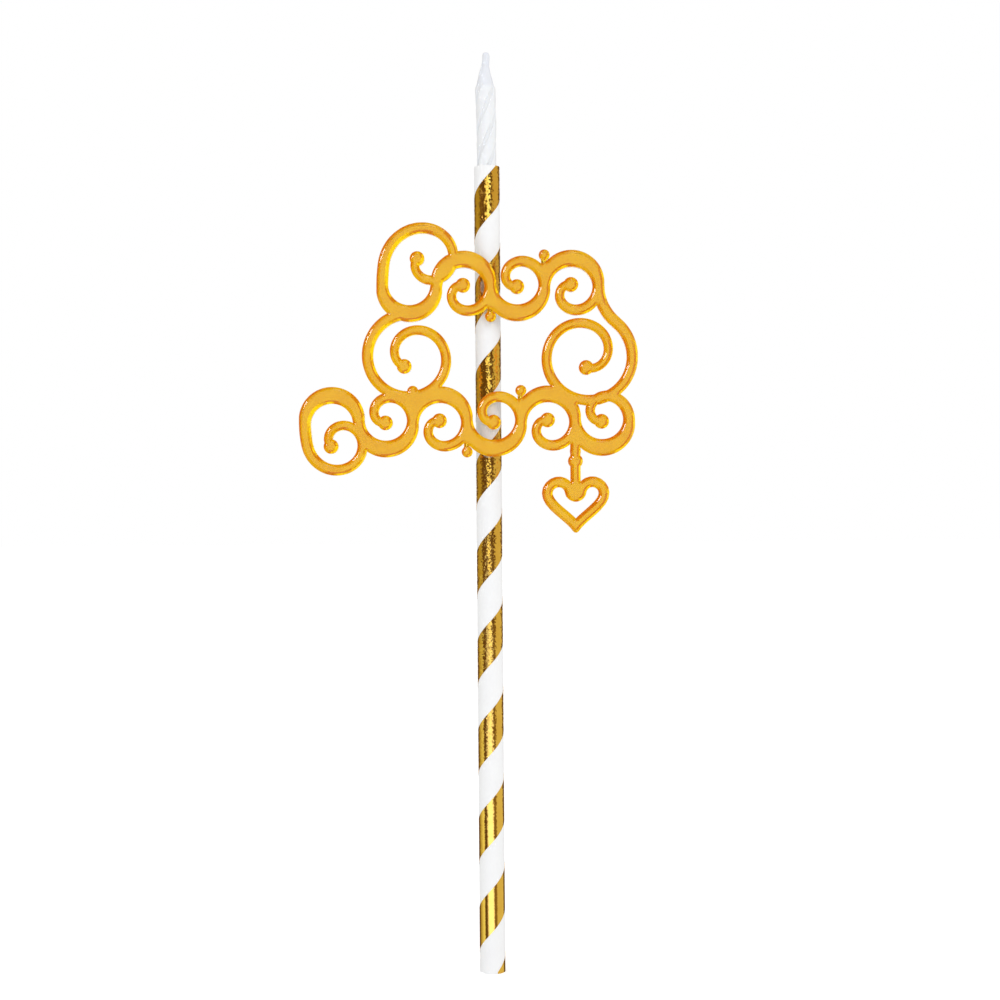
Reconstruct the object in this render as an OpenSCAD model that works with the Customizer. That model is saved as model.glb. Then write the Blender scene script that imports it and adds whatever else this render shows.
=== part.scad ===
// Cake topper candle: a twisted candle in a foil-striped paper straw, with a fretwork cut-out glued on.
// Sizes are millimetres. The straw stands along +Z on its foot, and the cut-out faces -Y.

/* [Straw] */
// Length of the straw
straw_len = 197; // [180:1:220]
// Outside diameter of the paper tube
straw_d = 6.2; // [6:0.1:6.5]
// Thickness of one paper ply
ply_t = 0.24; // [0.2:0.01:0.26]

/* [Foil stripe] */
// Rise of the stripe in one turn
stripe_lead = 21.7; // [18:0.1:26]
// Height of the stripe, measured along the straw
stripe_h = 10.5; // [9:0.1:12]
// Height of the stripe's lower edge on the front line
stripe_start = 10.2; // [8:0.1:12]
// Thickness of the foil
foil_t = 0.05; // [0.04:0.01:0.08]

/* [Candle] */
// Overall length of the candle with its tip
candle_len = 60; // [50:1:70]
// Length that stands out of the straw
candle_exposed = 28.2; // [24:0.2:30]
// Radial clearance between the candle and the straw's bore at the mouth
candle_clear = 0.06; // [0.04:0.01:0.1]
// Growth of the candle's radius from the mouth up to its shoulder
candle_taper = 0.18; // [0.1:0.01:0.25]
// Number of twisted ribs
rib_count = 4; // [3:1:6]
// Rise of a rib in one turn
rib_lead = 31.4; // [26:0.2:45]
// Depth of the grooves between the ribs
groove_depth = 0.35; // [0.25:0.05:0.5]
// Share of the ribs' pitch that a groove takes
groove_share = 0.345; // [0.25:0.005:0.45]
// Height of the cone below the tip
cone_h = 5.8; // [5:0.2:8]
// Height of the tip above the cone
tip_h = 3.4; // [2.6:0.2:4]
// Diameter of the wax dip on the tip
tip_d = 1.92; // [1.6:0.02:2.1]
// Diameter of the cotton wick
wick_d = 0.9; // [0.7:0.05:1]
// Wax that covers the wick's end
tip_cover = 0.7; // [0.5:0.05:1]

/* [Cut-out plate] */
// Thickness of the acrylic plate
plate_t = 2; // [1.5:0.1:3]
// Thickness of the metallised backing
backing_t = 0.1; // [0.06:0.02:0.2]
// Margin between the plate's edge and the backing
backing_inset = 0.3; // [0.2:0.05:0.4]
// Width of the cutter's kerf
kerf = 0.1; // [0.06:0.02:0.2]

/* [Scroll rows] */
// Sideways shift of the rows' shared middle from the straw's axis
cutout_shift = 0.7; // [0:0.1:1]
// Drop from the straw's mouth to the upper row's middle line
upper_drop = 29.7; // [29:0.1:32]
// Distance between the two rows' middle lines
row_pitch = 32.8; // [32:0.1:33.6]
// Distance between neighbouring scrolls of a row
scroll_pitch = 13.1; // [12.6:0.1:13.2]
// Reach of the lower row's stem to the left of the rows' shared middle
lower_reach = 45.2; // [44:0.1:46]
// Width of the stems at their crests
stem_w = 4.2; // [3.6:0.1:4.4]
// Width of the stems where they cross the middle line
stem_thin = 3; // [2.6:0.1:3.2]
// Width at the thin end of a tendril
tendril_w = 2.2; // [1.8:0.1:2.4]
// Radius of the berries that end the tendrils
berry_r = 1.85; // [1.6:0.05:2]
// Radius of the buds in the forks
bud_r = 1.4; // [1.2:0.05:1.5]
// Width of a bud's stalk
bud_stalk = 1.7; // [1.4:0.1:2]
// Length of a bud's stalk
bud_reach = 7.4; // [7:0.1:8]

/* [Heart pendant] */
// Width of the heart
heart_w = 16.5; // [14:0.5:18]
// Width of the heart's rim
heart_rim = 2.7; // [2.2:0.1:3]
// Rounding of the heart's tip
heart_round = 0.9; // [0.5:0.1:1.2]
// Drop from the lower row's middle line to the heart's middle
heart_drop = 19.6; // [18:0.2:21]
// Width of the stalk above the heart
heart_stalk = 2.6; // [2.2:0.1:2.8]

/* [Glue] */
// Glue film between the foil and the backing
glue_gap = 0.3; // [0.25:0.05:0.5]
// Width of a glue bead
bead_w = 3.4; // [2.6:0.2:4]
// Height of a glue bead
bead_h = 4.6; // [4.2:0.2:8]
// Air between a glue bead and the foil
bead_clear = 0.03; // [0.02:0.01:0.06]

/* [Hidden] */
$fn = 64;
cut_past = 1;

// Straw, from the outside to the bore
straw_r = straw_d / 2;
middle_r = straw_r - ply_t;
inner_r = middle_r - ply_t;
bore_r = inner_r - ply_t;

// Foil stripe: its flats clear the straw, and its ends taper off at the straw's ends
foil_step = 12;
foil_clear = 0.004;
foil_in_r = (straw_r + foil_clear) / cos(foil_step / 2);
foil_out_r = foil_in_r + foil_t;
front_turn = 270;
tail_h = 0.3;
steps_per_rise = 360 / (stripe_lead * foil_step);
foil_first = floor((tail_h - stripe_start - stripe_h) * steps_per_rise) + 1;
foil_last = floor((straw_len - tail_h - stripe_start) * steps_per_rise);

// Candle: it tapers down through the mouth, where it seats
candle_top = straw_len + candle_exposed;
candle_foot = candle_top - candle_len;
cone_top = candle_top - tip_h;
cone_foot = cone_top - cone_h;
seat_r = bore_r - candle_clear;
shoulder_r = seat_r + candle_taper;
wick_r = wick_d / 2;
wick_len = candle_len - tip_cover;
tip_r = tip_d / 2;
core_r = shoulder_r - groove_depth;
ledge_h = 1;
rib_turn = 65.6;
ring_gap = 1.7;
shaft_rings = ceil((cone_foot - candle_foot) / ring_gap);
cone_rings = 5;

// Points across one rib and its groove, as [share of the pitch, share of the groove's depth]
land_steps = 4;
land_share = 1 - groove_share;
wall_share = 0.05;
rib_points = concat(
    [for (k = [0:land_steps]) [land_share * k / land_steps, 0]],
    [[land_share + wall_share, 1], [1 - wall_share, 1]]);

// Cut-out: planes behind the plate, and the rows' middle lines
backing_back = foil_out_r + glue_gap;
plate_back = backing_back + backing_t;
upper_z = straw_len - upper_drop;
lower_z = upper_z - row_pitch;
scroll_r = scroll_pitch / 2;
upper_bays = 4;
lower_bays = 6;
upper_start = [cutout_shift - upper_bays * scroll_r, upper_z];
upper_end = [cutout_shift + upper_bays * scroll_r, upper_z];
upper_trough = upper_start + [scroll_r, -scroll_r];
lower_start = [cutout_shift - lower_reach, lower_z];

// Smoothness of the outlines
arc_steps = 15;
chord_sag = 0.035;
same_point = 0.001;
berry_sides = 20;
heart_steps = 44;

// Flourishes as arcs of [first radius, last radius, turn], led by the space between the rows
row_gap = row_pitch - scroll_pitch;
left_r = row_gap * 0.525;
right_r = row_gap * 0.55;
lean_r = row_gap * 0.6;
volute_step = 0.6;
volute_end_r = 3;
hook_end_r = 2.2;
upper_coil = [[40, 40, -8], [10.8, 7.2, -120], [7.2, hook_end_r, -270]];
lower_coil = [[30, 20, 12], [8, 6, 120], [6, hook_end_r, 270]];
left_volute = [[left_r, left_r - volute_step, 180], [left_r - volute_step, volute_end_r, 340]];
right_volute = [[lean_r, lean_r, 50], [right_r, right_r - volute_step, -190],
    [right_r - volute_step, volute_end_r, -330]];

// Heart pendant, drawn from a curve that is 32 units wide with its notch 5 units up
heart_scale = heart_w / 32;
heart_at = lower_start + [(lower_bays - 1) * scroll_pitch, -heart_drop];
heart_notch = heart_at + [0, 5 * heart_scale - heart_rim / 2];
heart_berry = heart_at + [0, heart_drop / 2];
heart_root = heart_at + [0, heart_drop];

// Glue beads: one behind the upper row's fork, one behind a trough of the lower row's stem
upper_bead_z = upper_z;
lower_bead_z = lower_z - scroll_r;
bead_back = straw_r / 2;

// Plain tube that stands on the foot
module tube(outer, inner) {
    difference() {
        cylinder(r = outer, h = straw_len);
        translate([0, 0, -cut_past]) cylinder(r = inner, h = straw_len + 2 * cut_past);
    }
}

// One cross-section of the foil stripe, cut level at the straw's ends
function foil_ring(i) =
    let (low = stripe_start + i / steps_per_rise)
    let (z0 = max(low, 0))
    let (z1 = min(low + stripe_h, straw_len))
    let (a = front_turn + i * foil_step)
    let (out = [cos(a), sin(a)])
    [
        [foil_in_r * out.x, foil_in_r * out.y, z0],
        [foil_in_r * out.x, foil_in_r * out.y, z1],
        [foil_out_r * out.x, foil_out_r * out.y, z1],
        [foil_out_r * out.x, foil_out_r * out.y, z0]
    ];

// Twisted candle: its ribs turn with height and end in a ledge, above which the core narrows to a cone
function taper_r(z) = seat_r + candle_taper * (z - straw_len) / (cone_foot - straw_len);
function cone_r(z) = tip_r + (core_r - tip_r) * (cone_top - z) / (cone_h - ledge_h);
function candle_r(z, depth) = z > cone_foot ? cone_r(z) : taper_r(z) - groove_depth * depth;
function candle_ring(z) = [for (i = [0:rib_count - 1], p = rib_points)
    let (a = rib_turn + 360 * (z - cone_foot) / rib_lead + 360 * (i + p[0]) / rib_count)
    let (r = candle_r(z, p[1]))
    [r * cos(a), r * sin(a), z]];

// Solid between a stack of closed rings that have the same number of points
module ring_solid(rings) {
    n = len(rings[0]);
    last = len(rings) - 1;
    points = [for (ring = rings, p = ring) p];
    lower_halves = [for (i = [0:last - 1], k = [0:n - 1])
        [i * n + k, (i + 1) * n + k, i * n + (k + 1) % n]];
    upper_halves = [for (i = [0:last - 1], k = [0:n - 1])
        [(i + 1) * n + k, (i + 1) * n + (k + 1) % n, i * n + (k + 1) % n]];
    start = [[for (k = [0:n - 1]) k]];
    end = [[for (k = [n - 1:-1:0]) last * n + k]];
    polyhedron(points = points, faces = concat(lower_halves, upper_halves, start, end));
}

// Line of points: its direction, its two edges and a list of widths along it
function turned(v) = [-v.y, v.x];
function along(line, i) =
    let (v = line[min(i + 1, len(line) - 1)] - line[max(i - 1, 0)])
    v / norm(v);
function edge(line, widths, side) = [for (i = [0:len(line) - 1])
    line[i] + side * widths[i] / 2 * turned(along(line, i))];
function backwards(list) = [for (i = [len(list) - 1:-1:0]) list[i]];
function tapered(line, w0, w1) = [for (i = [0:len(line) - 1])
    w0 + (w1 - w0) * i / (len(line) - 1)];

// Stroke that follows a line of points and has round ends
module stroke(line, widths) {
    last = len(line) - 1;
    polygon(concat(edge(line, widths, 1), backwards(edge(line, widths, -1))));
    translate(line[0]) circle(d = widths[0], $fn = berry_sides);
    translate(line[last]) circle(d = widths[last], $fn = berry_sides);
}

// Line that leaves a point with a heading and bends through a list of arcs
function arc_line(p, heading, arc) =
    let (sag_turn = 2 * acos(1 - chord_sag / max(arc[0], arc[1])))
    let (n = ceil(abs(arc[2]) / sag_turn))
    let (d = arc[2] / n)
    [for (i = 0, q = p, h = heading; i <= n;
        r = arc[0] + (arc[1] - arc[0]) * i / n,
        q = q + 2 * r * sin(abs(d) / 2) * [cos(h + d / 2), sin(h + d / 2)],
        h = h + d,
        i = i + 1) q];
function bent(p, heading, arcs, k = 0) =
    let (line = arc_line(p, heading, arcs[k]))
    k == len(arcs) - 1 ? line :
        concat(line, bent(line[len(line) - 1], heading + arcs[k][2], arcs, k + 1));
function distinct(line) = [for (i = [0:len(line) - 1])
    if (i == 0 || norm(line[i] - line[i - 1]) > same_point) line[i]];

// Flourish: a bending stroke with a berry on its end
module flourish(p, heading, arcs) {
    line = distinct(bent(p, heading, arcs));
    stroke(line, tapered(line, stem_thin, tendril_w));
    berry(line[len(line) - 1], berry_r);
}

module berry(p, r) {
    translate(p) circle(r = r, $fn = berry_sides);
}

// Row of half circles that swing over and under its middle line, thin where they cross it
function bay_side(i, first) = i % 2 == 0 ? first : -first;
function row_line(start, bays, first) = [for (i = [0:bays - 1], k = [(i == 0 ? 0 : 1):arc_steps])
    let (a = 180 - 180 * k / arc_steps)
    let (middle = start + [scroll_r + i * scroll_pitch, 0])
    middle + scroll_r * [cos(a), bay_side(i, first) * sin(a)]];
function row_widths(bays) = [for (i = [0:bays - 1], k = [(i == 0 ? 0 : 1):arc_steps])
    stem_thin + (stem_w - stem_thin) * sin(180 * k / arc_steps)];

// Tendril that leaves a fork and rolls up in the bay behind it
function bay_tendril(side) = [[scroll_r, scroll_r / 2, -side * 150], [scroll_r / 2, berry_r, -side * 130]];

// Running scroll: the row's stem, then a tendril and a bud for each bay after the first
module running_scroll(start, bays, first) {
    stroke(row_line(start, bays, first), row_widths(bays));
    for (i = [1:bays - 1]) {
        side = bay_side(i, first);
        fork = start + [(i + 1) * scroll_pitch, 0];
        bud = fork - [0, side * bud_reach];
        flourish(fork, -side * 90, bay_tendril(side));
        if (i < bays - 1) {
            stroke([fork, bud], [bud_stalk, bud_stalk]);
            berry(bud, bud_r);
        }
    }
}

// Heart-shaped ring with a round tip
function heart(t) = [16 * pow(sin(t), 3), 13 * cos(t) - 5 * cos(2 * t) - 2 * cos(3 * t) - cos(4 * t)];
module heart_shape() {
    offset(r = heart_round, $fn = berry_sides) offset(delta = -heart_round)
        polygon([for (i = [0:heart_steps - 1]) heart_scale * heart(360 * i / heart_steps)]);
}

module heart_ring() {
    difference() {
        heart_shape();
        offset(r = -heart_rim, $fn = berry_sides) heart_shape();
    }
}

// Flat pattern of the cut-out, drawn with the straw's axis at x = 0 and heights as y
module pattern() {
    running_scroll(upper_start, upper_bays, -1);
    running_scroll(lower_start, lower_bays, 1);
    flourish(upper_start, 90, upper_coil);
    flourish(lower_start, -90, lower_coil);
    flourish(upper_trough, 180, left_volute);
    flourish(upper_end, -90, right_volute);
    stroke([heart_root, heart_notch], [heart_stalk, heart_stalk]);
    berry(heart_berry, berry_r);
    translate(heart_at) heart_ring();
}

// Upright slice of a flat outline, in front of a plane
module upright(back, t) {
    translate([0, -back, 0]) rotate([90, 0, 0]) linear_extrude(height = t) children();
}

// Glue saddle between the straw's front and the backing
module glue_bead(z) {
    difference() {
        translate([0, -bead_back, z]) rotate([90, 0, 0])
            linear_extrude(height = backing_back - bead_back) {
                square([bead_w, bead_h - bead_w], center = true);
                translate([0, (bead_h - bead_w) / 2]) circle(d = bead_w);
                translate([0, -(bead_h - bead_w) / 2]) circle(d = bead_w);
            }
        cylinder(r = foil_out_r + bead_clear, h = straw_len);
    }
}

module straw_inner_ply() {
    color([0.9, 0.88, 0.84]) tube(inner_r, bore_r);
}

module straw_middle_ply() {
    color([0.92, 0.9, 0.86]) tube(middle_r, inner_r);
}

module straw_outer_ply() {
    color([0.96, 0.96, 0.97]) tube(straw_r, middle_r);
}

module gold_foil_stripe() {
    color([0.83, 0.66, 0.22]) ring_solid([for (i = [foil_first:foil_last]) foil_ring(i)]);
}

module candle_body() {
    shaft = [for (i = [0:shaft_rings]) candle_foot + (cone_foot - candle_foot) * i / shaft_rings];
    cone = [for (i = [0:cone_rings]) cone_foot + ledge_h + (cone_h - ledge_h) * i / cone_rings];
    color([0.97, 0.97, 0.96]) difference() {
        ring_solid([for (z = concat(shaft, cone)) candle_ring(z)]);
        translate([0, 0, candle_foot - cut_past]) cylinder(r = wick_r, h = candle_len);
    }
}

module candle_wick() {
    color([0.93, 0.91, 0.85]) translate([0, 0, candle_foot]) cylinder(r = wick_r, h = wick_len);
}

module wick_tip_coat() {
    color([0.94, 0.96, 0.98]) difference() {
        union() {
            translate([0, 0, cone_top]) cylinder(r = tip_r, h = tip_h - tip_r);
            translate([0, 0, candle_top - tip_r]) sphere(r = tip_r);
        }
        translate([0, 0, candle_foot]) cylinder(r = wick_r, h = wick_len);
    }
}

module topper_plate() {
    color([0.93, 0.69, 0.19]) upright(plate_back, plate_t) offset(delta = -kerf / 2) pattern();
}

module mirror_backing() {
    color([0.85, 0.86, 0.88]) upright(backing_back, backing_t)
        offset(r = -kerf / 2 - backing_inset, $fn = berry_sides) pattern();
}

module upper_glue_bead() {
    color([0.9, 0.92, 0.93, 0.6]) glue_bead(upper_bead_z);
}

module lower_glue_bead() {
    color([0.9, 0.92, 0.93, 0.6]) glue_bead(lower_bead_z);
}

straw_inner_ply();
straw_middle_ply();
straw_outer_ply();
gold_foil_stripe();
candle_body();
candle_wick();
wick_tip_coat();
topper_plate();
mirror_backing();
upper_glue_bead();
lower_glue_bead();
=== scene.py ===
import math

import bmesh
import bpy
import numpy as np
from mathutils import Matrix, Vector, kdtree
from mathutils.geometry import delaunay_2d_cdt


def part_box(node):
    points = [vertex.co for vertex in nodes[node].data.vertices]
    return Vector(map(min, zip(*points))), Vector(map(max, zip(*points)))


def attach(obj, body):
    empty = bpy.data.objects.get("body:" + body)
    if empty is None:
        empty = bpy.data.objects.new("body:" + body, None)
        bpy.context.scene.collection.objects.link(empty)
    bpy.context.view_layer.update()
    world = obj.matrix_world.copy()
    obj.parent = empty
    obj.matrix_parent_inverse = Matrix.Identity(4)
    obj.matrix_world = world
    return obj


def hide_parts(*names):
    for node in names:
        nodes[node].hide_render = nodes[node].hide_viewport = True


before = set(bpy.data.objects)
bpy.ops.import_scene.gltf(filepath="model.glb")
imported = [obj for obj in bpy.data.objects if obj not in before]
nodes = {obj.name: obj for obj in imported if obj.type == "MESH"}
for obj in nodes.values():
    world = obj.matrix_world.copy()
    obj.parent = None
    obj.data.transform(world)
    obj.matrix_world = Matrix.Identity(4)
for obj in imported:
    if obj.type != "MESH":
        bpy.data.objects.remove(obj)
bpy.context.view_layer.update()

# Lengths are metres, so millimetres are written times MM
MM = 0.001
FULL_TURN = 2 * math.pi

# Straw and foil stripe
STRIPE_LEAD = 21.7 * MM
STRIPE_HEIGHT = 10.5 * MM
STRIPE_START = 10.2 * MM
STRIPE_FRONT = math.radians(270)
STRIPE_TAIL = 0.3 * MM
FOIL_AIR = 0.01 * MM
FOIL_STEP = math.radians(3)
FOIL_CORNERS = 4
RIM_ROUND = 0.05 * MM
STRAW_SIDES = 128
STRAW_CREASE = math.radians(40)

# Twisted candle
CANDLE_CLEAR = 0.06 * MM
CANDLE_TAPER = 0.18 * MM
RIB_COUNT = 4
RIB_LEAD = 31.4 * MM
RIB_TURN = math.radians(65.6)
LAND_SHARE = 0.655
WALL_SHARE = 0.05
GROOVE_DEPTH = 0.35 * MM
LEDGE_HEIGHT = 1.0 * MM
CONE_HEIGHT = 5.8 * MM
CONE_LEAN = 0.3 * MM
LEAN_START = 8 * MM
LEAN_AT_FOOT = 0.7
LEAN_FULL = 1.45 * MM
LEAN_END = 1.8 * MM
LAND_STEPS = 12
GROOVE_STEPS = 4
CANDLE_RING_GAP = 0.25 * MM
CANDLE_CREASE = math.radians(30)
TIP_WAIST = 0.08
WAIST_REACH = 0.35
TIP_STEPS = 24
TIP_SIDES = 48
TIP_CREASE = math.radians(50)

# Cut-out with front edges that a flame broke: a steep outer band and a gentle inner one
STEEP_WIDTH = 0.5 * MM
STEEP_DROP = 0.55 * MM
GENTLE_WIDTH = 0.32 * MM
GENTLE_DROP = 0.16 * MM
EDGE_WIDTH = STEEP_WIDTH + GENTLE_WIDTH
EDGE_DEPTH = STEEP_DROP + GENTLE_DROP
OUTLINE_STEP = 0.3 * MM
SHARP_TURN = math.radians(28)
FAN_STEP = math.radians(20)
RING_KEEP = 0.96
FRONT_FACING = -0.99
PLATE_CREASE = math.radians(18)
FILM_AIR = 0.02 * MM

# Points this near are one point, and edges this short are none
SAME_POINT = 1e-7
NO_LENGTH = 1e-8

# Photograph's camera: the straw leans a little because the camera was turned
CAMERA_PLACE = Vector((2.65 * MM, -408 * MM, 115.4 * MM))
CAMERA_TURN = math.radians(0.43)
FRAME_WIDTH = 245.2 * MM
CLIP_START = 10 * MM

# Brightness of the white tent around the object, and the way to a small lamp at the upper left
TENT = 0.89
LAMP_WAY = (-0.692, -0.602, 0.399)

# Point that the lamps aim at, and half the floor's width
LAMP_AIM = Vector((0, 0, 110 * MM))
FLOOR_REACH = 4.0

# Range in which nearly all of a noise texture lies
NOISE_LOW = 0.3
NOISE_HIGH = 0.7

# Straw radii and heights that the solids give
straw_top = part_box("straw_outer_ply")[1].z
straw_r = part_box("straw_outer_ply")[1].x
middle_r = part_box("straw_middle_ply")[1].x
inner_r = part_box("straw_inner_ply")[1].x
ply_t = middle_r - inner_r
bore_r = inner_r - ply_t
foil_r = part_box("gold_foil_stripe")[1].x
candle_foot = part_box("candle_body")[0].z
cone_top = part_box("candle_body")[1].z
cone_foot = cone_top - CONE_HEIGHT
candle_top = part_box("wick_tip_coat")[1].z
tip_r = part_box("wick_tip_coat")[1].x
seat_r = bore_r - CANDLE_CLEAR
core_r = seat_r + CANDLE_TAPER - GROOVE_DEPTH


# Meshes

def add_piece(name, verts, faces, body, node):
    """A mesh object that rides on a body and stands for a node."""
    mesh = bpy.data.meshes.new(name)
    mesh.from_pydata([tuple(v) for v in verts], [], [tuple(f) for f in faces])
    mesh.validate()
    piece = bpy.data.objects.new(name, mesh)
    bpy.context.scene.collection.objects.link(piece)
    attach(piece, body)
    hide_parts(node)
    return piece


def clean_and_smooth(piece, sharp_angle):
    """Joins doubled points, turns the faces outwards and smooths all but the sharp edges."""
    work = bmesh.new()
    work.from_mesh(piece.data)
    bmesh.ops.remove_doubles(work, verts=work.verts, dist=SAME_POINT)
    bmesh.ops.dissolve_degenerate(work, edges=work.edges, dist=NO_LENGTH)
    bmesh.ops.recalc_face_normals(work, faces=work.faces)
    work.to_mesh(piece.data)
    work.free()
    piece.data.shade_smooth()
    piece.data.set_sharp_from_angle(angle=sharp_angle)


def ring_faces(rings, sides, closed):
    """Quads between neighbouring rings of points, and from the last ring to the first if closed."""
    faces = []
    for i in range(rings if closed else rings - 1):
        low = i * sides
        high = (i + 1) % rings * sides
        for k in range(sides):
            n = (k + 1) % sides
            faces.append((low + k, low + n, high + n, high + k))
    return faces


def lathe(profile, sides):
    """Points of a profile of (radius, height) pairs turned around the straw's axis."""
    turn = np.arange(sides) * FULL_TURN / sides
    return [(r * math.cos(a), r * math.sin(a), z) for r, z in profile for a in turn]


def build_outer_ply():
    """The white paper ply, with its cut rims slightly rounded."""
    c = RIM_ROUND
    profile = [(middle_r, c), (middle_r + c, 0), (straw_r - c, 0), (straw_r, c),
               (straw_r, straw_top - c), (straw_r - c, straw_top),
               (middle_r + c, straw_top), (middle_r, straw_top - c)]
    points = lathe(profile, STRAW_SIDES)
    faces = ring_faces(len(profile), STRAW_SIDES, True)
    piece = add_piece("white_paper_ply", points, faces, "stick", "straw_outer_ply")
    clean_and_smooth(piece, STRAW_CREASE)
    return piece


def build_foil():
    """The foil stripe, wound up the straw and cut level at both ends."""
    inside = straw_r + FOIL_AIR
    rise = STRIPE_LEAD * FOIL_STEP / FULL_TURN
    first = math.ceil((STRIPE_TAIL - STRIPE_START - STRIPE_HEIGHT) / rise)
    last = math.floor((straw_top - STRIPE_TAIL - STRIPE_START) / rise)
    points = []
    for i in range(first, last + 1):
        turn = STRIPE_FRONT + i * FOIL_STEP
        low = max(STRIPE_START + i * rise, 0)
        high = min(STRIPE_START + i * rise + STRIPE_HEIGHT, straw_top)
        for r, z in ((inside, low), (inside, high), (foil_r, high), (foil_r, low)):
            points.append((r * math.cos(turn), r * math.sin(turn), z))
    rings = last - first + 1
    faces = ring_faces(rings, FOIL_CORNERS, False)
    faces.append(range(FOIL_CORNERS))
    faces.append(range((rings - 1) * FOIL_CORNERS, rings * FOIL_CORNERS))
    piece = add_piece("gold_foil", points, faces, "stick", "gold_foil_stripe")
    clean_and_smooth(piece, STRAW_CREASE)
    return piece


def rib_shares():
    """Places of the candle's points across one rib's pitch, close together on the groove's walls."""
    land_end = LAND_SHARE
    floor_start = LAND_SHARE + WALL_SHARE
    floor_end = 1 - WALL_SHARE
    land = np.linspace(0, land_end, LAND_STEPS, endpoint=False)
    down = np.linspace(land_end, floor_start, GROOVE_STEPS, endpoint=False)
    flat = np.linspace(floor_start, floor_end, GROOVE_STEPS, endpoint=False)
    up = np.linspace(floor_end, 1, GROOVE_STEPS, endpoint=False)
    return np.concatenate([land, down, flat, up])


def groove(share):
    """Depth of the groove, from 0 to 1, at a place across one rib's pitch."""
    corners = [LAND_SHARE, LAND_SHARE + WALL_SHARE, 1 - WALL_SHARE, 1]
    depth = np.interp(share, corners, [0, 1, 1, 0])
    return depth * depth * (3 - 2 * depth)


def lean(z):
    """How far to the left the soft cone was pushed at a height, and the shaft below it with it."""
    heights = [cone_foot - LEAN_START, cone_foot, cone_top - LEAN_FULL, cone_top + LEAN_END]
    return -CONE_LEAN * np.interp(z, heights, [0, LEAN_AT_FOOT, 1, 0])


def candle_radius(share, z):
    """Radius of the candle: ribs on a tapered shaft, which end in a ledge under a plain cone."""
    below = min(z, cone_foot)
    taper = seat_r + CANDLE_TAPER * (below - straw_top) / (cone_foot - straw_top)
    shaft = taper - GROOVE_DEPTH * groove(share)
    cone = tip_r + (core_r - tip_r) * (cone_top - z) / (CONE_HEIGHT - LEDGE_HEIGHT)
    ledge = min((z - below) / LEDGE_HEIGHT, 1)
    return shaft + (cone - shaft) * ledge


def candle_heights():
    """Heights of the candle's rings, with one at each end of the ledge."""
    ends = [candle_foot, cone_foot, cone_foot + LEDGE_HEIGHT, cone_top]
    heights = [candle_foot]
    for low, high in zip(ends, ends[1:]):
        steps = math.ceil((high - low) / CANDLE_RING_GAP)
        heights += list(np.linspace(low, high, steps + 1)[1:])
    return heights


def build_candle():
    """The candle's wax body as fine rings that turn with the ribs, closed by flat ends."""
    one_rib = rib_shares()
    shares = np.tile(one_rib, RIB_COUNT)
    ribs = np.repeat(np.arange(RIB_COUNT), len(one_rib))
    sides = len(shares)
    heights = candle_heights()
    points = []
    for z in heights:
        turn = RIB_TURN + FULL_TURN * ((z - cone_foot) / RIB_LEAD + (ribs + shares) / RIB_COUNT)
        r = candle_radius(shares, z)
        points += list(zip(r * np.cos(turn) + lean(z), r * np.sin(turn), np.full(sides, z)))
    rings = len(heights)
    faces = ring_faces(rings, sides, False)
    faces.append(range(sides))
    faces.append(range((rings - 1) * sides, rings * sides))
    piece = add_piece("wax_candle", points, faces, "candle", "candle_body")
    clean_and_smooth(piece, CANDLE_CREASE)
    return piece


def build_tip():
    """The dipped wick end: a rod that thins out, leans back over the wick and ends in a rounded drop."""
    thin_r = tip_r * (1 - TIP_WAIST)
    dome_foot = candle_top - thin_r
    profile = [(0, cone_top)]
    for i in range(TIP_STEPS + 1):
        t = i / TIP_STEPS
        r = tip_r + (thin_r - tip_r) * min(t / WAIST_REACH, 1)
        profile.append((r, cone_top + (dome_foot - cone_top) * t))
    for i in range(1, TIP_STEPS + 1):
        a = math.pi / 2 * i / TIP_STEPS
        profile.append((thin_r * math.cos(a), dome_foot + thin_r * math.sin(a)))
    points = [(x + lean(z), y, z) for x, y, z in lathe(profile, TIP_SIDES)]
    faces = ring_faces(len(profile), TIP_SIDES, False)
    piece = add_piece("wick_tip", points, faces, "candle", "wick_tip_coat")
    clean_and_smooth(piece, TIP_CREASE)
    return piece


# Cut-out

def front_loops(node):
    """Closed outlines of a flat node's front, as lists of (x, z) with the solid on their left."""
    work = bmesh.new()
    work.from_mesh(nodes[node].data)
    bmesh.ops.remove_doubles(work, verts=work.verts, dist=SAME_POINT)
    front = {f for f in work.faces if f.normal.y < FRONT_FACING}
    following = {}
    for face in front:
        for corner in face.loops:
            if sum(f in front for f in corner.edge.link_faces) == 1:
                following[corner.vert.index] = corner.link_loop_next.vert.index
    work.verts.ensure_lookup_table()
    loops = []
    while following:
        start = next(iter(following))
        loop = []
        here = start
        while here in following:
            loop.append(np.array((work.verts[here].co.x, work.verts[here].co.z)))
            here = following.pop(here)
        loops.append(loop)
    work.free()
    return loops


def unit(v):
    return v / max(np.linalg.norm(v), NO_LENGTH)


def turn_at(loop, i):
    """Signed turn of an outline at a point: left is positive."""
    a = loop[i] - loop[i - 1]
    b = loop[(i + 1) % len(loop)] - loop[i]
    return math.atan2(a[0] * b[1] - a[1] * b[0], a @ b)


def smooth_loop(loop):
    """The outline with short steps along smooth curves. Sharp turns stay sharp."""
    count = len(loop)
    sharp = [abs(turn_at(loop, i)) > SHARP_TURN for i in range(count)]
    fine = []
    for i in range(count):
        p = loop[i]
        q = loop[(i + 1) % count]
        chord = q - p
        length = np.linalg.norm(chord)
        leave = unit(chord) if sharp[i] else unit(q - loop[i - 1])
        arrive = unit(chord) if sharp[(i + 1) % count] else unit(loop[(i + 2) % count] - p)
        steps = max(1, round(length / OUTLINE_STEP))
        for k in range(steps):
            t = k / steps
            fine.append((2 * t**3 - 3 * t**2 + 1) * p + (t**3 - 2 * t**2 + t) * length * leave
                        + (3 * t**2 - 2 * t**3) * q + (t**3 - t**2) * length * arrive)
    return fine


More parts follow.
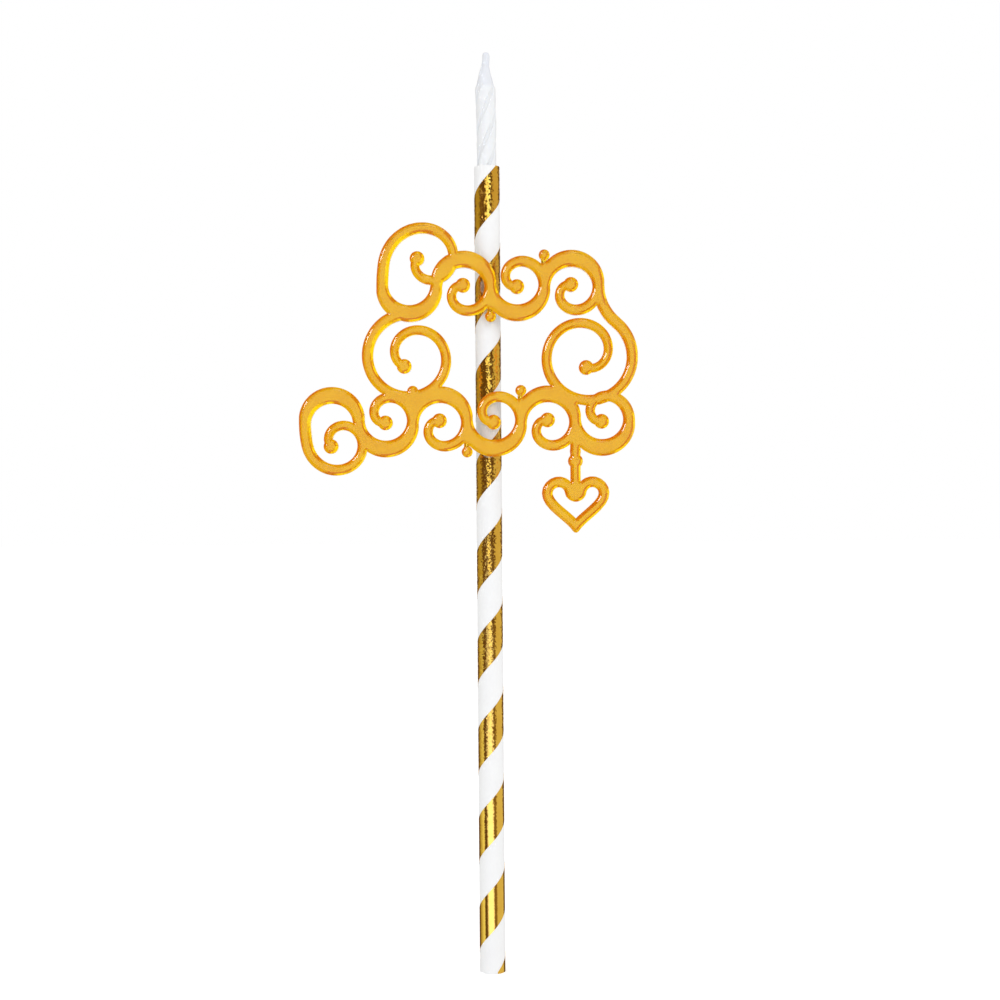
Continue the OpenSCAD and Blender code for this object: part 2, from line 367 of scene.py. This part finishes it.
def inward_directions(loop, i):
    """Directions from an outline point into the solid: one, or a fan where the solid wraps round it."""
    a = unit(loop[i] - loop[i - 1])
    b = unit(loop[(i + 1) % len(loop)] - loop[i])
    turn = turn_at(loop, i)
    if turn > -SHARP_TURN:
        middle = unit(a + b)
        return [np.array((-middle[1], middle[0]))]
    first = math.atan2(a[0], -a[1])
    steps = math.ceil(-turn / FAN_STEP)
    angles = [first + turn * k / steps for k in range(steps + 1)]
    return [np.array((math.cos(t), math.sin(t))) for t in angles]


def edge_drop(depth_in):
    """How far the broken front edge lies behind the face, at a distance in from the outline."""
    return float(np.interp(depth_in, [0, STEEP_WIDTH, EDGE_WIDTH], [EDGE_DEPTH, GENTLE_DROP, 0]))


def point_tree(points):
    """A search tree of flat points."""
    tree = kdtree.KDTree(len(points))
    for index, p in enumerate(points):
        tree.insert((p[0], p[1], 0), index)
    tree.balance()
    return tree


def ring_points(loops, rim):
    """Points inside the outlines, each with its distance to the nearest edge."""
    tree = point_tree(rim)
    found = []
    for reach in (STEEP_WIDTH / 2, STEEP_WIDTH, EDGE_WIDTH):
        for loop in loops:
            for i, p in enumerate(loop):
                for way in inward_directions(loop, i):
                    q = p + reach * way
                    if tree.find((q[0], q[1], 0))[2] >= RING_KEEP * reach:
                        found.append((q, reach))
    return found


def loop_area(loop):
    """Area inside an outline, negative if it runs clockwise."""
    ahead = loop[1:] + loop[:1]
    return sum(p[0] * q[1] - p[1] * q[0] for p, q in zip(loop, ahead)) / 2


def fill(points, loops):
    """Triangles between the outlines, through all the points. The outlines' points come first."""
    inside_only = 1
    same_mm = 1e-6
    rims = []
    start = 0
    for loop in loops:
        rim = list(range(start, start + len(loop)))
        rims.append(rim if loop_area(loop) > 0 else rim[::-1])
        start += len(loop)
    scaled = [Vector((p[0] / MM, p[1] / MM)) for p in points]
    verts, _, faces, _, _, owners = delaunay_2d_cdt(scaled, [], rims, inside_only, same_mm)
    solid = [face for face, owner in zip(faces, owners) if len(owner) == 1]
    return [v * MM for v in verts], solid


def plate_outlines(low, high):
    """The cut-out's outlines on smooth curves, kept inside the solid's own box."""
    corners = (low.x, low.z), (high.x, high.z)
    outlines = [smooth_loop(loop) for loop in front_loops("topper_plate")]
    return [[np.clip(p, *corners) for p in loop] for loop in outlines]


def plate_front(loops, rim, face_y):
    """Points and faces of the cut-out's front, which falls away towards its edges."""
    inside = ring_points(loops, rim)
    points = rim + [q for q, reach in inside]
    depths = [0] * len(rim) + [reach for q, reach in inside]
    tree = point_tree(points)
    flat, faces = fill(points, loops)
    verts = []
    for v in flat:
        nearest = tree.find((v.x, v.y, 0))[1]
        verts.append((v.x, face_y + edge_drop(depths[nearest]), v.y))
    return verts, faces


def wall_faces(loops, first, count):
    """Quads around the outlines, from the points that begin at first to those that lie count further on."""
    faces = []
    for loop in loops:
        for i in range(len(loop)):
            a = first + i
            b = first + (i + 1) % len(loop)
            faces.append((a, b, b + count, a + count))
        first += len(loop)
    return faces


def build_plate():
    """The amber cut-out: its own outline, with broken front edges and a flat back."""
    low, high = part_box("topper_plate")
    back_y = high.y - FILM_AIR
    loops = plate_outlines(low, high)
    rim = [p for loop in loops for p in loop]
    verts, faces = plate_front(loops, rim, low.y)
    faces += wall_faces(loops, len(verts), len(rim))
    verts += [(p[0], low.y + EDGE_DEPTH, p[1]) for p in rim]
    verts += [(p[0], back_y, p[1]) for p in rim]
    back, back_faces = fill(rim, loops)
    first = len(verts)
    faces += [[first + i for i in reversed(face)] for face in back_faces]
    verts += [(v.x, back_y, v.y) for v in back]
    piece = add_piece("amber_cutout", verts, faces, "stick", "topper_plate")
    clean_and_smooth(piece, PLATE_CREASE)
    return piece


# Materials

def add_node(tree, kind, inputs=None, **settings):
    """A shader node with its settings, and values or links on its inputs."""
    node = tree.nodes.new("ShaderNode" + kind)
    for name, value in settings.items():
        setattr(node, name, value)
    for socket, value in (inputs or {}).items():
        if isinstance(value, bpy.types.NodeSocket):
            tree.links.new(value, node.inputs[socket])
        else:
            node.inputs[socket].default_value = value
    return node


def new_material(name):
    """An empty node material, its tree and its output node."""
    material = bpy.data.materials.new(name)
    material.use_nodes = True
    tree = material.node_tree
    tree.nodes.clear()
    return material, tree, add_node(tree, "OutputMaterial")


def position(tree):
    return add_node(tree, "TexCoord").outputs["Object"]


def stretched(tree, vector, scale):
    return add_node(tree, "Mapping", {"Vector": vector, "Scale": scale}).outputs["Vector"]


def noise(tree, vector, scale, detail=3):
    return add_node(tree, "TexNoise", {"Vector": vector, "Scale": scale, "Detail": detail}).outputs["Fac"]


def ramp(tree, factor, stops):
    """A colour ramp with stops of (place, colour)."""
    node = add_node(tree, "ValToRGB", {"Fac": factor})
    elements = node.color_ramp.elements
    while len(elements) < len(stops):
        elements.new(1)
    for element, (place, colour) in zip(elements, stops):
        element.position = place
        element.color = (*colour, 1)
    return node.outputs["Color"]


def span(tree, value, low, high, to_low, to_high):
    """A number that goes from to_low to to_high while the value goes from low to high, and no further."""
    inputs = {"Value": value, "From Min": low, "From Max": high, "To Min": to_low, "To Max": to_high}
    return add_node(tree, "MapRange", inputs).outputs["Result"]


def maths(tree, operation, *values):
    """One step of arithmetic on numbers and sockets."""
    return add_node(tree, "Math", dict(enumerate(values)), operation=operation).outputs["Value"]


def vector_maths(tree, operation, *values):
    """One step of arithmetic on vectors and sockets. Lengths and dot products come out as numbers."""
    node = add_node(tree, "VectorMath", dict(enumerate(values)), operation=operation)
    return node.outputs["Value" if operation in ("LENGTH", "DOT_PRODUCT") else "Vector"]


def along(tree, vector, axis):
    return add_node(tree, "SeparateXYZ", {"Vector": vector}).outputs[axis]


def blend(tree, factor, first, second):
    return add_node(tree, "Mix", {0: factor, 6: first, 7: second}, data_type="RGBA").outputs[2]


def mottled(tree, texture, dark, light):
    """A colour that a noise texture varies between two."""
    return ramp(tree, texture, [(NOISE_LOW, dark), (NOISE_HIGH, light)])


def uneven(tree, texture, low, high):
    """A number that a noise texture varies between two."""
    return span(tree, texture, NOISE_LOW, NOISE_HIGH, low, high)


def bump(tree, height, strength, distance):
    inputs = {"Height": height, "Strength": strength, "Distance": distance}
    return add_node(tree, "Bump", inputs).outputs["Normal"]


def finish_material(tree, output, inputs):
    """A Principled surface on the output."""
    surface = add_node(tree, "BsdfPrincipled", inputs)
    tree.links.new(surface.outputs["BSDF"], output.inputs["Surface"])


def paper_material(name, light, dark):
    """Calendered paper: fibres along the straw, faint cloudiness and a soft sheen."""
    material, tree, output = new_material(name)
    place = position(tree)
    fibres = noise(tree, stretched(tree, place, (1, 1, 0.2)), 6000, 5)
    clouds = noise(tree, place, 250, 2)
    colour = ramp(tree, maths(tree, "MULTIPLY", fibres, clouds), [(0.1, dark), (0.4, light)])
    finish_material(tree, output, {
        "Base Color": colour,
        "Roughness": uneven(tree, fibres, 0.5, 0.62),
        "Specular IOR Level": 0.35,
        "Normal": bump(tree, fibres, 0.15, 0.02 * MM),
    })
    return material


def foil_material():
    """Gold-lacquered film: a mirror of small facets, which turn aside more towards the handled top."""
    facets_in_metre = 3200.0
    facet_middle = (0.5, 0.5, 0.5)
    mostly_sideways = (1, 1, 0.2)
    untouched_height = 20 * MM
    handled_height = 95 * MM
    material, tree, output = new_material("gold_film")
    place = position(tree)
    facets = add_node(tree, "TexVoronoi", {"Vector": place, "Scale": facets_in_metre}).outputs["Color"]
    centred = vector_maths(tree, "SUBTRACT", facets, facet_middle)
    aside = vector_maths(tree, "MULTIPLY", centred, mostly_sideways)
    handled = span(tree, along(tree, place, "Z"), untouched_height, handled_height, 0.04, 0.3)
    tilt = vector_maths(tree, "MULTIPLY", aside, handled)
    upright = add_node(tree, "NewGeometry").outputs["Normal"]
    tilted = vector_maths(tree, "ADD", upright, tilt)
    patches = noise(tree, place, 400, 2)
    finish_material(tree, output, {
        "Base Color": mottled(tree, patches, (0.84, 0.46, 0.09), (0.89, 0.51, 0.11)),
        "Metallic": 1.0,
        "Roughness": uneven(tree, patches, 0.07, 0.12),
        "Normal": vector_maths(tree, "NORMALIZE", tilted),
    })
    return material


def wax_material():
    """White paraffin: the grooves get a darker colour than the ribs as painted shade, and the cone and tip
    a darker, bluish colour as painted shade.
    """
    # Radii over which the grooves' painted shade gives way to the ribs' plain wax colour
    groove_shade_edge_r = core_r + 0.02 * MM
    groove_shade_gone_r = core_r + 0.12 * MM
    material, tree, output = new_material("white_wax")
    place = position(tree)
    height = along(tree, place, "Z")
    leaning = span(tree, height, cone_foot - LEAN_START, cone_foot, 0, LEAN_AT_FOOT * CONE_LEAN)
    back = add_node(tree, "CombineXYZ", {"X": leaning}).outputs["Vector"]
    straight = vector_maths(tree, "ADD", place, back)
    across = vector_maths(tree, "MULTIPLY", straight, (1, 1, 0))
    out_of_groove_shade = span(tree, vector_maths(tree, "LENGTH", across), groove_shade_edge_r, groove_shade_gone_r, 0, 1)
    mottle = noise(tree, place, 900, 3)
    # Painted shade: the grooves get this darker wax colour, the ribs the lighter one below
    painted_groove_shade = mottled(tree, mottle, (0.805, 0.82, 0.845), (0.825, 0.84, 0.865))
    light = mottled(tree, mottle, (0.84, 0.855, 0.88), (0.86, 0.875, 0.9))
    # Painted shade: the cone and tip get this darker, bluish wax colour
    painted_cone_shade = mottled(tree, mottle, (0.77, 0.79, 0.845), (0.79, 0.81, 0.865))
    above = span(tree, height, cone_foot, cone_foot + LEDGE_HEIGHT, 0, 1)
    finish_material(tree, output, {
        "Base Color": blend(tree, above, blend(tree, out_of_groove_shade, painted_groove_shade, light), painted_cone_shade),
        "Roughness": uneven(tree, mottle, 0.38, 0.5),
        "Subsurface Weight": 0.25,
        "Subsurface Radius": (1.0, 0.9, 0.8),
        "Subsurface Scale": 0.3 * MM,
        "Normal": bump(tree, mottle, 0.1, 0.02 * MM),
    })
    return material


def acrylic_material():
    """Clear amber acrylic that swallows blue first. Its sides are deeper amber and its front edges wavy."""
    wave_start = 0.02 * MM
    wave_end = EDGE_DEPTH - 0.06 * MM
    wave_share = 80
    material, tree, output = new_material("amber_acrylic")
    place = position(tree)
    face_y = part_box("topper_plate")[0].y
    back_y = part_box("topper_plate")[1].y - FILM_AIR
    depth = along(tree, place, "Y")
    clear = (1, 1, 1)
    amber = (0.97, 0.6, 0.05)
    polished = (0.98, 0.6, 0.045)
    side = (0.97, 0.55, 0.04)
    layers = [(0.16, amber), (0.18, polished), (0.69, polished), (0.73, side), (1.94, side), (1.97, clear)]
    stops = [(depth_in * MM / (back_y - face_y), colour) for depth_in, colour in layers]
    past_face = span(tree, depth, face_y + wave_start, face_y + GENTLE_DROP, 0, 1)
    before_side = span(tree, depth, face_y + wave_end, face_y + EDGE_DEPTH, 1, 0)
    edge = maths(tree, "MULTIPLY", past_face, before_side)
    wave = noise(tree, place, 500, 2)
    ripple = maths(tree, "SUBTRACT", noise(tree, place, 900, 2), 0.5)
    relief = maths(tree, "MULTIPLY_ADD", maths(tree, "MULTIPLY", ripple, edge), wave_share, wave)
    finish_material(tree, output, {
        "Base Color": ramp(tree, span(tree, depth, face_y, back_y, 0, 1), stops),
        "Roughness": uneven(tree, wave, 0, 0.03),
        "IOR": 1.49,
        "Transmission Weight": 0.93,
        "Normal": bump(tree, relief, 1.0, 0.001 * MM),
    })
    swallow = {"Color": (0.988, 0.967, 0.56, 1), "Density": 1450.0}
    absorption = add_node(tree, "VolumeAbsorption", swallow)
    tree.links.new(absorption.outputs["Volume"], output.inputs["Volume"])
    return material


def film_material():
    """Metallised backing: a mirror towards the acrylic and grey lacquer behind."""
    material, tree, output = new_material("metal_film")
    place = position(tree)
    facing = add_node(tree, "NewGeometry").outputs["Normal"]
    back = span(tree, along(tree, facing, "Y"), -0.1, 0.1, 0, 1)
    grain = noise(tree, place, 2500, 3)
    clouds = maths(tree, "MULTIPLY", noise(tree, place, 180, 2), 0.5)
    patchy = maths(tree, "MULTIPLY_ADD", grain, 0.5, clouds)
    lacquer = mottled(tree, grain, (0.42, 0.42, 0.43), (0.5, 0.5, 0.51))
    silver = ramp(tree, patchy, [(0.35, (0.89, 0.76, 0.62)), (0.65, (0.95, 1, 1))])
    finish_material(tree, output, {
        "Base Color": blend(tree, back, silver, lacquer),
        "Metallic": span(tree, back, 0, 1, 1, 0),
        "Roughness": span(tree, back, 0, 1, 0.04, 0.5),
        "Normal": bump(tree, grain, 0.05, 0.01 * MM),
    })
    return material


def glue_material():
    """Clear hot-melt adhesive: a thin glossy film that hardly shows, a little milky and wavy."""
    material, tree, output = new_material("clear_glue")
    place = position(tree)
    wave = noise(tree, place, 700, 2)
    finish_material(tree, output, {
        "Base Color": mottled(tree, wave, (0.9, 0.91, 0.92), (0.95, 0.95, 0.96)),
        "Roughness": uneven(tree, wave, 0.08, 0.2),
        "IOR": 1.48,
        "Alpha": uneven(tree, wave, 0.08, 0.16),
        "Normal": bump(tree, wave, 0.3, 0.05 * MM),
    })
    return material


def cotton_material():
    """Braided cotton: uneven bands stand for the braid's strands."""
    material, tree, output = new_material("braided_cotton")
    place = position(tree)
    braid = add_node(tree, "TexWave", {"Vector": place, "Scale": 1200.0, "Distortion": 2.0})
    colour = ramp(tree, braid.outputs["Fac"], [(0, (0.7, 0.67, 0.6)), (1, (0.86, 0.83, 0.76))])
    finish_material(tree, output, {
        "Base Color": colour,
        "Roughness": 0.9,
        "Normal": bump(tree, braid.outputs["Fac"], 0.4, 0.05 * MM),
    })
    return material


def wear(piece, material):
    piece.data.materials.clear()
    piece.data.materials.append(material)


# Stage

def panel_ramp(tree, value, ends, panels, full):
    """Panels of (place, colour) along a value that runs between two ends. Colours are shares of full."""
    first, last = ends
    stops = []
    for place, colour in panels:
        share = (place - first) / (last - first)
        stops.append((share, tuple(c / full for c in colour)))
    return ramp(tree, span(tree, value, first, last, 0, 1), stops)


def metal_studio(tree, direction, way):
    """What gloss mirrors: panels left, front and right, brighter downwards, and a small high lamp."""
    full = 2.6
    low_share = 0.3
    top_start = 0.09
    top_full = 0.12
    low_start = -0.015
    low_full = -0.18
    floor_start = -0.36
    floor_full = -0.5
    lamp_rim = 0.986
    lamp_core = 0.99
    lamp_power = 16
    gap = (0.14, 0.09, 0.04)
    brown = (0.26, 0.2, 0.09)
    dim = (0.46, 0.42, 0.12)
    spark = (1.35, 1.45, 1.05)
    blaze = (1.5, 2, 2)
    warm = (0.68, 0.77, 0.45)
    shine = (1, 1.2, 0.84)
    front = (1.7, 2.05, 2.6)
    right_top = (0.65, 0.6, 0.3)
    right_level = (0.71, 0.71, 0.42)
    right_low = (0.78, 0.83, 0.55)
    top = [(-128, gap), (-118, dim), (-76, dim), (-62, gap), (-12, gap), (-8, spark), (6, spark),
           (9, blaze), (22, blaze), (26, gap), (42, gap), (52, right_top), (118, right_top), (126, gap)]
    level = [(-128, gap), (-118, dim), (-76, dim), (-62, gap), (-10, gap), (-8, spark), (6, spark),
             (8, gap), (42, gap), (52, right_level), (118, right_level), (126, gap)]
    low = [(-128, gap), (-120, dim), (-100, warm), (-78, shine), (-70, shine), (-61, gap), (-43, gap),
           (-27, front), (13, front), (25, brown), (42, brown), (52, right_low), (118, right_low),
           (126, gap)]
    forwards = maths(tree, "MULTIPLY", way["Y"], -1)
    azimuth = maths(tree, "DEGREES", maths(tree, "ARCTAN2", way["X"], forwards))
    around = (-180, 180)
    top_ring, level_ring, low_ring = [
        panel_ramp(tree, azimuth, around, panels, full) for panels in (top, level, low)]
    above = span(tree, way["Z"], top_start, top_full, 0, 1)
    below = span(tree, way["Z"], low_start, low_full, 0, 1)
    pattern = blend(tree, below, blend(tree, above, level_ring, top_ring), low_ring)
    strength = span(tree, way["Z"], floor_full, floor_start, low_share * full, full)
    soft = add_node(tree, "Background", {"Color": pattern, "Strength": strength})
    near = vector_maths(tree, "DOT_PRODUCT", direction, LAMP_WAY)
    lamp = add_node(tree, "Background", {"Strength": span(tree, near, lamp_rim, lamp_core, 0, lamp_power)})
    return add_node(tree, "AddShader", {0: soft.outputs[0], 1: lamp.outputs[0]}).outputs[0]


def acrylic_studio(tree, way):
    """What shows through the amber edges: bright panels at the upper left, warm shade lower right."""
    full = 2.2
    slant_right = -0.87
    slant_up = 0.5
    sideways = maths(tree, "MULTIPLY", way["X"], slant_right)
    slant = maths(tree, "MULTIPLY_ADD", way["Z"], slant_up, sideways)
    plain = (1.1, 1.06, 0.9)
    shade = (0.9, 0.32, 0.02)
    mild = (1.04, 0.8, 0.5)
    line = (0.9, 0.44, 0.25)
    bright = (1.6, 2, 1.5)
    panels = [(-0.75, plain), (-0.62, shade), (-0.28, shade), (-0.2, mild), (-0.11, mild), (-0.09, plain),
              (0.145, plain), (0.16, line), (0.28, line), (0.31, plain), (0.34, bright), (0.4, bright),
              (0.43, plain), (0.46, plain), (0.49, bright), (0.62, bright), (0.75, plain)]
    pattern = panel_ramp(tree, slant, (-1, 1), panels, full)
    return add_node(tree, "Background", {"Color": pattern, "Strength": full}).outputs[0]


def add_world():
    """An even tent. The camera sees it as white, and so do gloss and acrylic that look to the back."""
    backdrop_start = 0.9
    backdrop_full = 0.94
    white = (1, 1, 1, 1)
    world = bpy.data.worlds.new("studio")
    bpy.context.scene.world = world
    world.use_nodes = True
    world.cycles.sampling_method = "NONE"
    tree = world.node_tree
    tree.nodes.clear()
    rays = add_node(tree, "LightPath").outputs
    direction = add_node(tree, "TexCoord").outputs["Generated"]
    way = add_node(tree, "SeparateXYZ", {"Vector": direction}).outputs
    metal = metal_studio(tree, direction, way)
    acrylic = acrylic_studio(tree, way)
    tent = add_node(tree, "Background", {"Color": white, "Strength": TENT}).outputs[0]
    backdrop = add_node(tree, "Background", {"Color": white, "Strength": 1.0}).outputs[0]
    behind = span(tree, way["Y"], backdrop_start, backdrop_full, 0, 1)
    mirrored = maths(tree, "MAXIMUM", rays["Is Glossy Ray"], rays["Is Transmission Ray"])
    seen = maths(tree, "MAXIMUM", rays["Is Camera Ray"], maths(tree, "MULTIPLY", mirrored, behind))
    light = add_node(tree, "MixShader", {0: rays["Is Glossy Ray"], 1: tent, 2: metal}).outputs[0]
    light = add_node(tree, "MixShader", {0: rays["Is Transmission Ray"], 1: light, 2: acrylic}).outputs[0]
    light = add_node(tree, "MixShader", {0: seen, 1: light, 2: backdrop}).outputs[0]
    add_node(tree, "OutputWorld", {"Surface": light})


def add_floor():
    """Pale floor under the straw's foot, white to the camera but for the shadow on it."""
    camera_glow = 0.35
    size = FLOOR_REACH
    corners = [(-size, -size, 0), (size, -size, 0), (size, size, 0), (-size, size, 0)]
    mesh = bpy.data.meshes.new("floor")
    mesh.from_pydata(corners, [], [(0, 1, 2, 3)])
    floor = bpy.data.objects.new("floor", mesh)
    bpy.context.scene.collection.objects.link(floor)
    material, tree, output = new_material("pale_floor")
    grain = noise(tree, position(tree), 60, 2)
    colour = mottled(tree, grain, (0.86, 0.86, 0.86), (0.88, 0.88, 0.88))
    matt = add_node(tree, "BsdfDiffuse", {"Color": colour})
    seen = add_node(tree, "LightPath").outputs["Is Camera Ray"]
    glow = add_node(tree, "Emission", {"Strength": maths(tree, "MULTIPLY", seen, camera_glow)})
    both = add_node(tree, "AddShader", {0: matt.outputs[0], 1: glow.outputs[0]})
    tree.links.new(both.outputs[0], output.inputs["Surface"])
    wear(floor, material)
    floor.visible_glossy = False
    floor.visible_transmission = False


def add_lamp(name, place, size, power):
    """A square soft lamp that aims at the object and doesn't show in mirrors."""
    light = bpy.data.lights.new(name, "AREA")
    light.size = size
    light.energy = power
    lamp = bpy.data.objects.new(name, light)
    lamp.location = place
    lamp.rotation_euler = (LAMP_AIM - Vector(place)).to_track_quat("-Z", "Y").to_euler()
    bpy.context.scene.collection.objects.link(lamp)
    lamp.visible_glossy = False
    lamp.visible_transmission = False


def add_camera():
    """The photograph's camera, straight in front and turned a little about its own line of sight."""
    data = bpy.data.cameras.new("camera")
    distance = -CAMERA_PLACE.y
    data.angle = 2 * math.atan(FRAME_WIDTH / 2 / distance)
    data.clip_start = CLIP_START
    camera = bpy.data.objects.new("camera", data)
    camera.location = CAMERA_PLACE
    camera.rotation_euler = (math.pi / 2, CAMERA_TURN, 0)
    bpy.context.scene.collection.objects.link(camera)
    bpy.context.scene.camera = camera


add_camera()
add_world()
add_floor()
add_lamp("key", (0.5, -0.7, 0.6), size=0.5, power=1.85)
add_lamp("fill", (-0.7, -0.6, 0.3), size=0.6, power=0.7)

white_paper = paper_material("white_paper", (0.92, 0.925, 0.93), (0.89, 0.89, 0.9))
inner_paper = paper_material("inner_paper", (0.86, 0.84, 0.8), (0.78, 0.75, 0.7))
wax = wax_material()
glue = glue_material()

wear(build_outer_ply(), white_paper)
wear(build_foil(), foil_material())
wear(build_candle(), wax)
wear(build_tip(), wax)
wear(build_plate(), acrylic_material())
wear(nodes["straw_inner_ply"], inner_paper)
wear(nodes["straw_middle_ply"], inner_paper)
wear(nodes["candle_wick"], cotton_material())
wear(nodes["mirror_backing"], film_material())
wear(nodes["upper_glue_bead"], glue)
wear(nodes["lower_glue_bead"], glue)

bpy.context.scene.view_settings.view_transform = "Standard"
